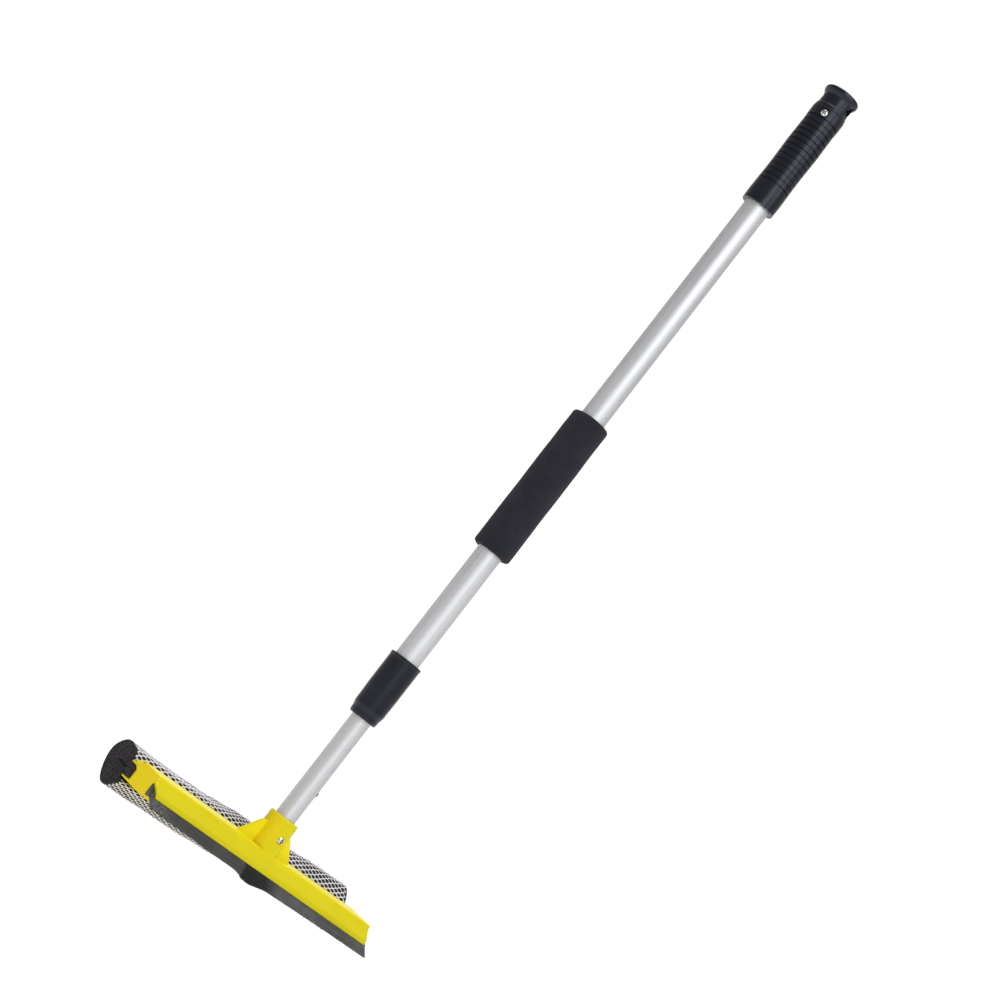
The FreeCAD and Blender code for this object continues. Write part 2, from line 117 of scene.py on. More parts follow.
# ---- light ----
BACKDROP_HEADING = 140.0
BACKDROP_EDGE = (0.70, 0.90)            # cosines of the angles from that heading where it fades out
BACKDROP_LEVEL, ROOM_LEVEL = 1.10, 0.48
SIDE_LIFT = 0.09            # how much brighter the room is to the right than in the middle
KEY_WATTS, SIDE_WATTS = 22, 6
KEY_TINT, SIDE_TINT, SUN_TINT = (0.93, 0.965, 1.0), (0.95, 0.975, 1.0), (0.97, 0.97, 1.0)
SUN_STRENGTH, SUN_SPREAD = 1.75, 60     # the spread is in degrees
FLOOR_HALF, FLOOR_DROP = 30.0, 0.03     # metres; the drop is below the head at the pole's longest

# ---- colours, linear ----
YELLOW, YELLOW_CLOUD, YELLOW_SPECK = (0.665, 0.565, 0.005), (0.625, 0.51, 0.004), (0.66, 0.53, 0.008)
SOCKET_SIDE_PAINTED_LIGHT, BAR_FRONT_PAINTED_SHADE, WEB_PAINTED_LIGHT = (0.80, 0.60, 0.009), (0.53, 0.475, 0.005), (0.80, 0.69, 0.006)
END_FACE_PAINTED_LIGHT, LEDGE, RIM_PAINTED_HIGHLIGHT = (0.83, 0.635, 0.003), (0.50, 0.42, 0.004), (0.86, 0.78, 0.30)
RUBBER, RUBBER_SMEAR, RUBBER_DUST = (0.040, 0.040, 0.037), (0.082, 0.082, 0.078), (0.105, 0.102, 0.098)
RUBBER_DARKER_LEFT, RUBBER_KINK_SHADE = (0.026, 0.026, 0.025), (0.006, 0.006, 0.0065)
RUBBER_LIP_SHADOW, RUBBER_STREAK_HIGHLIGHT = (0.012, 0.007, 0.006), (0.26, 0.26, 0.25)

# ---- camera ----
CAMERA_HEADING = -40.0     # degrees round the pole, from -Y
CAMERA_DISTANCE = 2.2
CAMERA_HEIGHT = 0.0711     # above the socket's mouth
PAN, TILT, ROLL = 39.433, 6.943, -37.778
LENS = 89.044


# ---- small helpers ----
def head_point(x, y, z):
    return (x * MM, y * MM, MOUTH_Z + z * MM)


def below_mouth(depth):
    """The height this many metres below the socket's mouth."""
    return MOUTH_Z - depth


def blend_in(value, low, high):
    """0 below low, 1 above high, and smooth between them."""
    t = min(1.0, max(0.0, (value - low) / (high - low)))
    return t * t * (3 - 2 * t)


def along(pairs, x):
    """The value at x on a smooth line through (x, value) pairs."""
    xs = [p[0] for p in pairs]
    i = max(0, min(len(xs) - 2, sum(1 for v in xs if v <= x) - 1))
    t = blend_in(x, xs[i], xs[i + 1])
    return pairs[i][1] + (pairs[i + 1][1] - pairs[i][1]) * t


def smooth_line(points, count):
    """Evenly spaced points on a smooth open line through these points."""
    p = np.array(points, float)
    p = np.vstack([2 * p[0] - p[1], p, 2 * p[-1] - p[-2]])
    t = np.linspace(0, 1, SPAN_STEPS, endpoint=False)[:, None]
    runs = []
    for a, b, c, d in zip(p[:-3], p[1:-2], p[2:-1], p[3:]):
        runs.append(0.5 * (2 * b + (c - a) * t + (2 * a - 5 * b + 4 * c - d) * t ** 2
                           + (3 * b - a - 3 * c + d) * t ** 3))
    line = np.vstack(runs + [p[-2:-1]])
    return evenly(line, count)


def evenly(line, count):
    """The same line with its points evenly spaced."""
    run = np.concatenate([[0], np.cumsum(np.linalg.norm(np.diff(line, axis=0), axis=1))])
    want = np.linspace(0, run[-1], count)
    return np.column_stack([np.interp(want, run, line[:, k]) for k in range(2)])


def line_length(line):
    return float(np.linalg.norm(np.diff(line, axis=0), axis=1).sum())


def piece(name, points, faces, material, body):
    """A smooth-shaded mesh that rides on a body."""
    mesh = bpy.data.meshes.new(name)
    mesh.from_pydata([tuple(p) for p in points], [], faces)
    mesh.validate()
    mesh.shade_smooth()
    mesh.materials.append(material)
    obj = bpy.data.objects.new(name, mesh)
    bpy.context.scene.collection.objects.link(obj)
    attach(obj, body)
    return obj


def ring_faces(rings, points):
    """Quads between one closed ring of points and the next."""
    faces = []
    for i in range(rings - 1):
        for j in range(points):
            a, b = i * points + j, i * points + (j + 1) % points
            faces.append((a, b, b + points, a + points))
    return faces


# ---- materials ----
class Paint:
    """A material whose nodes are added one after another."""

    def __init__(self, name, **sockets):
        self.material = bpy.data.materials.new(name)
        self.material.use_nodes = True
        self.tree = self.material.node_tree
        self.shader = self.tree.nodes["Principled BSDF"]
        for socket, value in sockets.items():
            self.shader.inputs[socket.replace("_", " ")].default_value = value
        self.place = self.add("ShaderNodeTexCoord").outputs["Object"]

    def add(self, kind, inputs=None, **settings):
        node = self.tree.nodes.new(kind)
        for key, value in settings.items():
            setattr(node, key, value)
        for socket, value in (inputs or {}).items():
            if isinstance(value, bpy.types.NodeSocket):
                self.tree.links.new(value, node.inputs[socket])
            else:
                node.inputs[socket].default_value = value
        return node

    def stretched(self, x, y, z, turn=(0, 0, 0)):
        """The place on the object, scaled to repeats a metre along each axis."""
        inputs = {"Vector": self.place, "Scale": (x, y, z), "Rotation": turn}
        return self.add("ShaderNodeMapping", inputs).outputs["Vector"]

    def noise(self, where, detail=3.0, rough=0.5, warp=0.0):
        inputs = {"Vector": where, "Scale": 1.0, "Detail": detail, "Roughness": rough, "Distortion": warp}
        return self.add("ShaderNodeTexNoise", inputs).outputs["Fac"]

    def cells(self, where):
        inputs = {"Vector": where, "Scale": 1.0}
        return self.add("ShaderNodeTexVoronoi", inputs).outputs["Distance"]

    def hollows(self, distance):
        """0 deep in a corner this size, in metres, and 1 in the open."""
        return self.add("ShaderNodeAmbientOcclusion", {"Distance": distance}).outputs["AO"]

    def between(self, value, low, high, out_low=0.0, out_high=1.0):
        inputs = {"Value": value, "From Min": low, "From Max": high, "To Min": out_low, "To Max": out_high}
        return self.add("ShaderNodeMapRange", inputs).outputs["Result"]

    def maths(self, operation, a, b):
        node = self.add("ShaderNodeMath", operation=operation)
        for socket, value in zip(node.inputs, (a, b)):
            if isinstance(value, bpy.types.NodeSocket):
                self.tree.links.new(value, socket)
            else:
                socket.default_value = value
        return node.outputs["Value"]

    def product(self, *values):
        total = values[0]
        for value in values[1:]:
            total = self.maths("MULTIPLY", total, value)
        return total

    def total(self, a, b):
        return self.maths("ADD", a, b)

    def mix(self, share, first, second):
        """The first colour where share is 0 and the second where it is 1."""
        node = self.add("ShaderNodeMix", data_type="RGBA")
        for index, value in ((0, share), (6, first), (7, second)):
            if isinstance(value, bpy.types.NodeSocket):
                self.tree.links.new(value, node.inputs[index])
            else:
                node.inputs[index].default_value = value if index == 0 else (*value, 1.0)
        return node.outputs[2]

    def axis(self, name):
        return self.add("ShaderNodeSeparateXYZ", {"Vector": self.place}).outputs[name]

    def colour(self, value):
        self.tree.links.new(value, self.shader.inputs["Base Color"])

    def roughness(self, value):
        self.tree.links.new(value, self.shader.inputs["Roughness"])

    def bump(self, height, distance, strength):
        inputs = {"Height": height, "Distance": distance, "Strength": strength}
        node = self.add("ShaderNodeBump", inputs)
        self.tree.links.new(node.outputs["Normal"], self.shader.inputs["Normal"])


def yellow_plastic():
    """Moulded head: a fine orange peel, and a tone that differs a little from face to face, much of it painted
    light and shade.
    """
    p = Paint("yellow_plastic", Specular_IOR_Level=0.12)
    p.shader.inputs["Subsurface Weight"].default_value = 0.04
    p.shader.inputs["Subsurface Radius"].default_value = (0.004, 0.003, 0.0006)
    x, y, z = (p.axis(name) for name in "XYZ")
    cloud = p.noise(p.stretched(26, 40, 55), detail=4, warp=0.6)
    speck = p.noise(p.stretched(900, 900, 900), detail=2)
    body = p.mix(p.between(cloud, 0.35, 0.68), YELLOW, YELLOW_CLOUD)
    # painted light: the socket's left side is lighter and warmer
    raised = p.between(z, below_mouth(0.034), below_mouth(0.030))
    within = p.between(x, -SOCKET_REACH - 0.0006, -SOCKET_REACH)
    body = p.mix(p.product(p.between(x, -0.005, -0.0145), raised, within, 0.9), body, SOCKET_SIDE_PAINTED_LIGHT)
    # painted shade: the bar is duller below its top
    front = p.between(z, below_mouth(0.0365), below_mouth(0.0385))
    body = p.mix(p.product(front, 0.5), body, BAR_FRONT_PAINTED_SHADE)
    # painted light: the two webs are paler
    beside = p.between(p.maths("ABSOLUTE", x, 0.0), SOCKET_REACH, SOCKET_REACH + 0.0006)
    off_bar = p.between(z, below_mouth(0.0335), below_mouth(0.0325))
    body = p.mix(p.product(beside, off_bar, 0.9), body, WEB_PAINTED_LIGHT)
    # painted light: the bar's left end face is a little warmer
    end = p.between(x, -BAR_HALF * MM + 0.0012, -BAR_HALF * MM + 0.0001)
    body = p.mix(p.product(end, 0.95), body, END_FACE_PAINTED_LIGHT)
    # behind the bar a ledge is duller, and the raised rim carries a painted pale highlight
    lip = p.between(z, below_mouth(0.0346), below_mouth(0.0336))
    body = p.mix(p.product(lip, p.between(y, 0.0125, 0.0135, 0.0, 0.7)), body, LEDGE)
    rim_highlight_share = p.between(cloud, 0.3, 0.6, 0.45, 0.7)
    body = p.mix(p.product(p.between(y, 0.0162, 0.0172), lip, rim_highlight_share), body, RIM_PAINTED_HIGHLIGHT)
    p.colour(p.mix(p.between(speck, 0.62, 0.78, 0.0, 0.2), body, YELLOW_SPECK))
    scuff = p.noise(p.stretched(60, 700, 700), detail=3, warp=0.4)
    p.roughness(p.between(scuff, 0.3, 0.7, 0.34, 0.50))
    orange_peel = p.noise(p.stretched(420, 420, 420), detail=2)
    p.bump(p.total(orange_peel, p.product(speck, 0.35)), 0.00006, 0.5)
    return p.material


def aluminium():
    """Satin anodised tube, with the fine lines it was drawn with and a few handling marks."""
    p = Paint("aluminium", Metallic=1.0)
    drawn = p.noise(p.stretched(2600, 2600, 6), detail=3)
    broad = p.noise(p.stretched(180, 180, 3), detail=2)
    patch = p.noise(p.stretched(30, 30, 12), detail=4, warp=0.5)
    tone = p.total(p.product(drawn, 0.5), p.product(broad, 0.5))
    base = p.mix(p.between(tone, 0.36, 0.64), (0.60, 0.60, 0.605), (0.69, 0.693, 0.70))
    p.colour(p.mix(p.between(patch, 0.56, 0.74, 0.0, 0.35), base, (0.62, 0.615, 0.60)))
    p.roughness(p.total(p.between(patch, 0.3, 0.7, 0.45, 0.51), p.between(drawn, 0.3, 0.7, 0.0, 0.06)))
    marks = p.noise(p.stretched(900, 900, 60, (0.5, 0.3, 0)), detail=1)
    height = p.total(p.product(drawn, 0.6), p.between(marks, 0.70, 0.74, 0.0, -0.6))
    p.bump(height, 0.000012, 0.6)
    return p.material


def moulded(name, dark, light, rough, spec=0.35, grain=1100):
    """Moulded plastic with a spark-eroded grain, of a given number a metre, and cloudy gloss."""
    p = Paint(name, Specular_IOR_Level=spec, Specular_Tint=(0.82, 0.86, 1.0, 1.0))
    cloud = p.noise(p.stretched(45, 45, 30), detail=4, warp=0.4)
    fine = p.noise(p.stretched(grain, grain, grain), detail=3, rough=0.6)
    p.colour(p.mix(p.between(p.total(cloud, p.product(fine, 0.35)), 0.5, 0.85), dark, light))
    broad = p.between(cloud, 0.3, 0.7, rough - 0.05, rough + 0.06)
    p.roughness(p.total(broad, p.between(fine, 0.3, 0.7, -0.03, 0.05)))
    p.bump(fine, 0.00004, 0.7)
    return p.material


def foam(name, dark, light, pore, deep, sheen):
    """Open pores of a given number a metre, with walls paler than their floors: the floors carry painted shade."""
    p = Paint(name, Roughness=0.93, Specular_IOR_Level=0.10, Sheen_Weight=sheen, Sheen_Roughness=0.6)
    wander = p.noise(p.stretched(pore * 0.4, pore * 0.4, pore * 0.4), detail=3)
    large = p.cells(p.stretched(pore, pore, pore))
    small = p.cells(p.stretched(pore * 2.3, pore * 2.3, pore * 2.3))
    height = p.total(p.product(large, 0.7), p.product(small, 0.45))
    cloud = p.noise(p.stretched(38, 38, 38), detail=4, warp=0.5)
    # painted shade: the pore floors are darker, with a random tone over it
    tone = p.total(p.between(height, 0.25, 0.85), p.between(cloud, 0.3, 0.7, -0.2, 0.2))
    p.colour(p.mix(p.between(tone, -0.1, 1.1), light, dark))
    p.bump(p.maths("SUBTRACT", p.product(wander, 0.5), height), deep, 0.9)
    return p.material


def blade_rubber():
    """Matte black rubber, dusty, with smears along its length, painted shade at its kink and under the bar's lip,
    and painted pale highlight streaks at its left end.
    """
    p = Paint("blade_rubber", Specular_IOR_Level=0.22)
    x = p.axis("X")
    smear = p.noise(p.stretched(14, 260, 260, (0, 0.12, 0)), detail=5, warp=0.8)
    dust = p.noise(p.stretched(75, 75, 75), detail=5, warp=0.5)
    base = p.mix(p.between(smear, 0.34, 0.68), RUBBER, RUBBER_SMEAR)
    base = p.mix(p.between(dust, 0.50, 0.75, 0.0, 0.5), base, RUBBER_DUST)
    # the strip is darker left of the kink
    base = p.mix(p.between(x, -0.018, -0.026, 0.0, 0.55), base, RUBBER_DARKER_LEFT)
    # painted shade at the kink, where the creased strip hangs steeply
    kink = p.product(p.between(x, -0.0255, -0.0205), p.between(x, 0.026, 0.006), 0.96)
    base = p.mix(kink, base, RUBBER_KINK_SHADE)
    # painted shadow along the strip's top, under the bar's lip
    base = p.mix(p.between(p.hollows(0.005), 0.66, 0.36), base, RUBBER_LIP_SHADOW)
    # painted pale highlight streaks at the left end
    streak_noise = p.noise(p.stretched(900, 900, 70, (0, -0.85, 0)), detail=2, warp=0.2)
    highlight_streaks = p.product(p.between(x, -0.116, -0.136), p.between(streak_noise, 0.52, 0.64, 0.0, 0.6))
    p.colour(p.mix(highlight_streaks, base, RUBBER_STREAK_HIGHLIGHT))
    p.roughness(p.between(smear, 0.3, 0.7, 0.50, 0.66))
    grain = p.noise(p.stretched(1500, 1500, 1500), detail=2)
    p.bump(p.total(p.product(grain, 0.4), p.product(smear, 0.8)), 0.00009, 0.7)
    return p.material


def net_fabric():
    """White nylon, painted cooler above as lit from above, and creamier below; spun from fine filaments."""
    p = Paint("net_fabric", Roughness=0.48, Specular_IOR_Level=0.35)
    p.shader.inputs["Subsurface Weight"].default_value = 0.12
    p.shader.inputs["Subsurface Radius"].default_value = (0.0008, 0.0008, 0.0008)
    height = p.between(p.axis("Z"), below_mouth(0.058), below_mouth(0.040))
    cloud = p.noise(p.stretched(60, 60, 60), detail=4, warp=0.6)
    # painted light: the upper strands are cooler, as lit from above; the lower ones are creamier
    base = p.mix(height, (0.80, 0.74, 0.62), (0.78, 0.755, 0.80))
    base = p.mix(p.between(cloud, 0.5, 0.8, 0.0, 0.5), base, (0.60, 0.57, 0.56))
    filament = p.noise(p.stretched(700, 3800, 3800, (0.4, 0.5, 0.3)), detail=2)
    base = p.mix(p.between(filament, 0.35, 0.62, 0.55, 0.0), base, (0.42, 0.40, 0.42))
    # painted shade where the strands lie close together and against the sponge
    p.colour(p.mix(p.between(p.hollows(0.0014), 0.30, 0.75), (0.13, 0.12, 0.12), base))
    p.bump(filament, 0.00016, 0.8)
    return p.material


def bright_steel(name, tone, rough):
    """Plated steel with turning marks, small pits, and painted shade in its recesses."""
    p = Paint(name, Metallic=1.0)
    turned = p.noise(p.stretched(900, 2600, 900, (0.2, 0.1, 0.6)), detail=3)
    pits = p.cells(p.stretched(1500, 1500, 1500))
    bright = p.mix(p.between(turned, 0.3, 0.7), tuple(0.78 * v for v in tone), tone)
    # painted shade in recesses, such as the screws' cross recess
    p.colour(p.mix(p.between(p.hollows(0.0022), 0.35, 0.8), (0.03, 0.028, 0.026), bright))
    p.roughness(p.between(turned, 0.3, 0.7, rough - 0.06, rough + 0.08))
    p.bump(p.total(turned, p.between(pits, 0.0, 0.12, -0.8, 0.0)), 0.00002, 0.6)
    return p.material


def soft_rubber():
    """The two small sealing rings inside the pole."""
    p = Paint("ring_rubber", Specular_IOR_Level=0.3)
    grease = p.noise(p.stretched(240, 240, 500), detail=4, warp=0.6)
    p.colour(p.mix(p.between(grease, 0.35, 0.7), (0.020, 0.020, 0.021), (0.045, 0.044, 0.042)))
    p.roughness(p.between(grease, 0.3, 0.7, 0.42, 0.75))
    p.bump(p.noise(p.stretched(1800, 1800, 1800), detail=2), 0.00004, 0.6)
    return p.material


def make_paints():
    """The materials by their slots' names."""
    return {
        "yellow_plastic": yellow_plastic(),
        "aluminium": aluminium(),
        "black_plastic": moulded("black_plastic", (0.0022, 0.0024, 0.0052), (0.0048, 0.0052, 0.009), 0.29,
                                 spec=0.41),
        "inner_plastic": moulded("inner_plastic", (0.50, 0.50, 0.47), (0.62, 0.62, 0.59), 0.5, grain=700),
        "button_plastic": moulded("button_plastic", (0.030, 0.030, 0.032), (0.06, 0.06, 0.06), 0.42),
        "sponge_foam": foam("sponge_foam", (0.003, 0.0025, 0.003), (0.060, 0.052, 0.058), 560, 0.0016, 0.04),
        "grip_foam": foam("grip_foam", (0.010, 0.010, 0.015), (0.030, 0.029, 0.040), 2100, 0.00022, 0.05),
        "blade_rubber": blade_rubber(),
        "net_fabric": net_fabric(),
        "screw_steel": bright_steel("screw_steel", (0.72, 0.715, 0.71), 0.26),
        "spring_steel": bright_steel("spring_steel", (0.55, 0.55, 0.56), 0.32),
        "ring_rubber": soft_rubber(),
    }


def paint_cad_nodes(paints):
    """Every CAD node that stays takes its record slot's material."""
    slots = {s["node"]: s["material_slot"] for s in frame["record"]["subparts"]}
    for node, obj in frame["nodes"].items():
        obj.data.materials.clear()
        obj.data.materials.append(paints[slots[node]])


# ---- sponge ----
def shifted(x, y, z):
    """The sponge isn't quite straight: its top climbs to the right, and its foot hangs lower at the left."""
    climb = along([(-149, -2.3), (-96, -3.6), (-52, -2.9), (-29, -1.2), (-6, 0.8), (40, 1.0), (76, 1.6),
                   (100, 3.2), (149, 4.1)], x)
    drop = along([(-149, -1.8), (-62, -1.0), (-24, 0.6), (8, 3.2), (149, 4.6)], x)
    out = blend_in(y, 33.0, 44.0)
    z += out * (climb * blend_in(z, -44.0, -27.0) + drop * blend_in(-z, 52.0, 66.0))
    z += 0.35 * noise.noise(Vector((x / 17.0, y / 30.0, 3.0))) * out
    y += 0.45 * noise.noise(Vector((x / 21.0, z / 25.0, 9.0))) * out
    return y, z


def pulled_in(points, by):
    """A section's points moved towards the cap's centre."""
    moved = []
    for y, z in points:
        dy, dz = y - CAP_CENTRE[0], z - CAP_CENTRE[1]
        size = math.hypot(dy, dz)
        moved.append((y - by * dy / size, z - by * dz / size))
    return moved


def sponge_section():
    """The outline of cap and stem, as one closed ring."""
    cap = smooth_line(pulled_in(SPONGE_CAP, FOAM_UNDER_NET), CAP_POINTS)
    stem = evenly(np.array([tuple(cap[-1])] + SPONGE_STEM + [tuple(cap[0])]), STEM_POINTS + 2)[1:-1]
    return np.vstack([cap, stem])


def end_face(section):
    """Points inside a section, and triangles that fill it: the section's own points come first."""
    low, high = section.min(0), section.max(0)
    inside = []
    ring = [Vector(p) for p in section]
    for i, y in enumerate(np.arange(low[0], high[0], FACE_SPACING)):
        for z in np.arange(low[1] + (i % 2) * FACE_SPACING / 2, high[1], FACE_SPACING):
            near = np.hypot(section[:, 0] - y, section[:, 1] - z).min()
            if near > 0.6 * FACE_SPACING:
                inside.append(Vector((y, z)))
    edges = [(i, (i + 1) % len(ring)) for i in range(len(ring))]
    points, _, faces, came_from, _, _ = geometry.delaunay_2d_cdt(ring + inside, edges, [], 1, 1e-6)
    order = {}
    extra = []
    for new, old in enumerate(came_from):
        if old and old[0] < len(ring):
            order[new] = old[0]
        else:
            order[new] = len(ring) + len(extra)
            extra.append(tuple(points[new]))
    return extra, [tuple(order[v] for v in f) for f in faces]


def slit_depth(y, z):
    """How deep the end is cut at this place, mm."""
    a, b = Vector(SLIT[0]), Vector(SLIT[1])
    p = Vector((y, z + 0.25 * math.sin(y * 0.9)))
    t = min(1.0, max(0.0, (p - a).dot(b - a) / (b - a).length_squared))
    gap = (p - a.lerp(b, t)).length
    return SLIT_DEEP * math.exp(-(gap / SLIT_WIDE) ** 2) * blend_in(1 - t, 0.0, 0.25)


def make_sponge(paint):
    """Cap and stem in one block of foam, with rounded ends and a slit where it was folded."""
    section = sponge_section()
    count = len(section)
    xs = np.linspace(-SPONGE_HALF, SPONGE_HALF, SPONGE_RINGS)
    points = []
    for x in xs:
        end = SPONGE_HALF - abs(x)
        # the foam swells where the net stops, and its corners are a little round
        tuck = 0.5 * (1 - blend_in(end, 0.0, 1.6)) - 0.5 * blend_in(abs(x), NET_HALF - 3.0, NET_HALF + 1.0)
        for y, z in pulled_in(section, tuck) if tuck else section:
            y, z = shifted(x, y, z)
            rough = 0.16 * noise.noise(Vector((x, y, z)) * 0.9)
            points.append(head_point(x, y + rough, z + rough))
    faces = ring_faces(SPONGE_RINGS, count)
    extra, fill = end_face(section)
    for side, ring_start in ((-1, 0), (1, (SPONGE_RINGS - 1) * count)):
        first = len(points)
        for y, z in extra:
            edge = np.hypot(section[:, 0] - y, section[:, 1] - z).min()
            out = 0.35 * blend_in(edge, 0.0, 4.0) + 0.35 * noise.noise(Vector((y, z, side * 7.0)) * 0.55)
            x = side * (SPONGE_HALF + out - slit_depth(y, z))
            y, z = shifted(x, y, z)
            points.append(head_point(x, y, z))
        for f in fill:
            f = tuple(ring_start + v if v < count else first + v - count for v in f)
            faces.append(f if side > 0 else f[::-1])
    made = piece("sponge_foam_block", points, faces, paint, "lower_pole")
    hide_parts("sponge")
    return made


# ---- net ----
def net_path():
    """The line that the net follows round the sponge, from lip to lip, with the way out at each point."""
    outside = pulled_in(SPONGE_CAP, NET_DEEP + NET_CLEAR)
    line = smooth_line([NET_TUCKED_TOP] + outside + [NET_TUCKED_LOW], NET_PATH_POINTS)
    way = np.gradient(line, axis=0)
    way /= np.linalg.norm(way, axis=1)[:, None]
    return line, np.column_stack([-way[:, 1], way[:, 0]]), line_length(line)


def on_net(path, x, v):
    """The point at x along the head and v mm round the net, and the way out there."""
    line, out, length = path
    at = min(len(line) - 1.001, max(0.0, v / length * (len(line) - 1)))
    i = int(at)
    t = at - i
    y, z = line[i] * (1 - t) + line[i + 1] * t
    n = out[i] * (1 - t) + out[i + 1] * t
    y, z = shifted(x, y, z)
    return Vector((x, y, z)), Vector((0, n[0], n[1]))


def net_strand(path, row, phase, xs):
    """The middle of one zigzag strand, with the way out and the swell of its width at each point."""
    stations = []
    for x in xs:
        turn = 2 * math.pi * x / NET_PERIOD + phase
        wave = math.sin(turn) + 0.12 * math.sin(3 * turn)
        drift = 0.7 * noise.noise(Vector((x / 24.0, row / 4.0, 1.0)))
        v = (row + 0.5 + 0.47 * wave) * NET_ROW + drift
        pull = 0.5 * noise.noise(Vector((x / 5.0, row * 1.7, 5.0)))
        place, out = on_net(path, x + pull, v)
        # the strand dips where it passes between its neighbours
        place += out * (0.10 * math.cos(2 * turn) + 0.08 * noise.noise(Vector((x / 3.0, row * 2.3, 8.0))))
        swell = 1.0 + 0.14 * abs(wave) + 0.10 * noise.noise(Vector((x / 2.5, row * 3.1, 2.0)))
        stations.append((place, out, swell))
    return stations


def make_net(paint):
    """Knitted net: zigzag strands side by side, each caught on its neighbours at the crests."""
    path = net_path()
    rows = int(path[2] / NET_ROW)
    steps = round(2 * NET_HALF / NET_PERIOD * NET_STEPS_A_PERIOD)
    xs = np.linspace(-NET_HALF + NET_END, NET_HALF - NET_END, steps + 1)
    points, faces = [], []
    for row in range(rows):
        first = len(points)
        stations = net_strand(path, row, math.pi * (row % 2), xs)
        for i, (place, out, swell) in enumerate(stations):
            before, after = stations[max(0, i - 1)][0], stations[min(steps, i + 1)][0]
            run = (after - before).normalized()
            across = run.cross(out).normalized()
            for k in range(NET_SIDES):
                a = 2 * math.pi * k / NET_SIDES
                offset = across * (NET_WIDE * swell * math.cos(a)) + out * (NET_DEEP * math.sin(a))
                points.append(head_point(*(place + offset)))
        faces += [tuple(first + v for v in f) for f in ring_faces(steps + 1, NET_SIDES)]
        faces.append(tuple(first + k for k in range(NET_SIDES)))
        last = first + steps * NET_SIDES
        faces.append(tuple(last + k for k in reversed(range(NET_SIDES))))
    made = piece("sponge_net_knit", points, faces, paint, "lower_pole")
    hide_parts("sponge_net")
    return made


# ---- rubber blade ----
def blade_section(x):
    """The blade's outline at x: its bead in the slot, and the warped strip that hangs out of it."""
    hang = along(BLADE_HANG, x) + 1.6 * noise.noise(Vector((x / 13.0, 0, 4.0)))
    crease = math.exp(-((x - KINK_X) / KINK_WIDE) ** 2)
    fuller = 1 + 0.20 * math.exp(-((x - SLACK_X) / SLACK_WIDE) ** 2)
    y, z = BLADE_START
    upper, lower = [], []
    step = BLADE_REACH / BLADE_STEPS
    for i in range(BLADE_STEPS + 1):
        t = i / BLADE_STEPS
        # the strip leaves the slot at its moulded angle and bends into its hang
        a = math.radians(BLADE_ANGLE + (hang - BLADE_ANGLE) * blend_in(t, 0.0, 0.7))
        if i:
            y -= step * math.cos(a) * fuller
            z -= step * math.sin(a) * fuller
        half = (BLADE_ROOT + (BLADE_EDGE - BLADE_ROOT) * t) / 2
        ripple = 0.22 * math.sin(x / 2.1 + 3.0 * t) * crease * t
        ny, nz = -math.sin(a), math.cos(a)
        upper.append((y + ny * (half + ripple), z + nz * (half + ripple)))
        lower.append((y - ny * (half - ripple), z - nz * (half - ripple)))
    return upper + lower[::-1] + BEAD


def make_blade(paint):
    xs = np.arange(-BLADE_HALF, BLADE_HALF + 0.1, BLADE_SPACING)
    sections = [blade_section(x) for x in xs]
    count = len(sections[0])
    points = []
    for x, section in zip(xs, sections):
        for y, z in section:
            points.append(head_point(x + BLADE_SHIFT, y, z))
    faces = ring_faces(len(xs), count)
    faces.append(tuple(reversed(range(count))))
    faces.append(tuple((len(xs) - 1) * count + k for k in range(count)))
    made = piece("rubber_blade_warped", points, faces, paint, "lower_pole")
    mark_sharp(made, 38.0)
    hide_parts("rubber_blade")
    return made


def mark_sharp(obj, degrees):
    """Edges between faces that meet more steeply than this keep a crisp line."""
    bpy.context.view_layer.objects.active = obj
    obj.select_set(True)
    bpy.ops.object.shade_smooth_by_angle(angle=math.radians(degrees))
    obj.select_set(False)


# ---- foam grip ----
def foam_profile(inner_r, outer_r):
    """The sleeve's outline from its lower bore to its upper one, as (radius, z)."""
    low, high = FOAM_LOW.z, FOAM_HIGH.z
    out, up = FOAM_BEVEL
    shoulder = outer_r - FOAM_RIM
    profile = [(inner_r, low + up), (inner_r + out, low), (shoulder, low)]
    for i in range(1, RIM_STEPS + 1):
        a = math.pi / 2 * i / RIM_STEPS
        profile.append((shoulder + FOAM_RIM * math.sin(a), low + FOAM_RIM - FOAM_RIM * math.cos(a)))
    profile += [(outer_r, z) for z in np.linspace(low + FOAM_RIM, high - FOAM_RIM, FOAM_RINGS)[1:-1]]
    for i in range(RIM_STEPS + 1):
        a = math.pi / 2 * i / RIM_STEPS
        profile.append((shoulder + FOAM_RIM * math.cos(a), high - FOAM_RIM + FOAM_RIM * math.sin(a)))
    return profile + [(inner_r + out, high), (inner_r, high - up)]


def make_foam_grip(paint):
    """The sleeve, with soft rims and the slight unevenness of skived foam."""
    outer_r, inner_r = FOAM_HIGH.x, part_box("upper_tube")[1].x + FOAM_CLEAR
    profile = foam_profile(inner_r, outer_r)
    points = []
    for r, z in profile:
        # the bore stays true to the tube, and only the rims are uneven along the pole
        give = blend_in(r, inner_r, inner_r + 0.002)
        on_rim = r < outer_r - 0.0002
        for k in range(FOAM_TURNS):
            a = 2 * math.pi * k / FOAM_TURNS
            way = Vector((math.cos(a), math.sin(a), 0))
            where = Vector((way.x * r, way.y * r, z))
            uneven = 0.00030 * noise.noise(where * 45) + 0.00012 * noise.noise(where * 700)
            up = 0.0003 * noise.noise(where * 160) if on_rim else 0.0
            points.append(way * (r + give * uneven) + Vector((0, 0, z + give * up)))
    faces = [f[::-1] for f in ring_faces(len(profile), FOAM_TURNS)]
    last = (len(profile) - 1) * FOAM_TURNS
    for k in range(FOAM_TURNS):
        n = (k + 1) % FOAM_TURNS
        faces.append((last + n, last + k, k, n))
    made = piece("foam_grip_sleeve", points, faces, paint, "upper_pole")
    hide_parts("foam_grip")
    return made


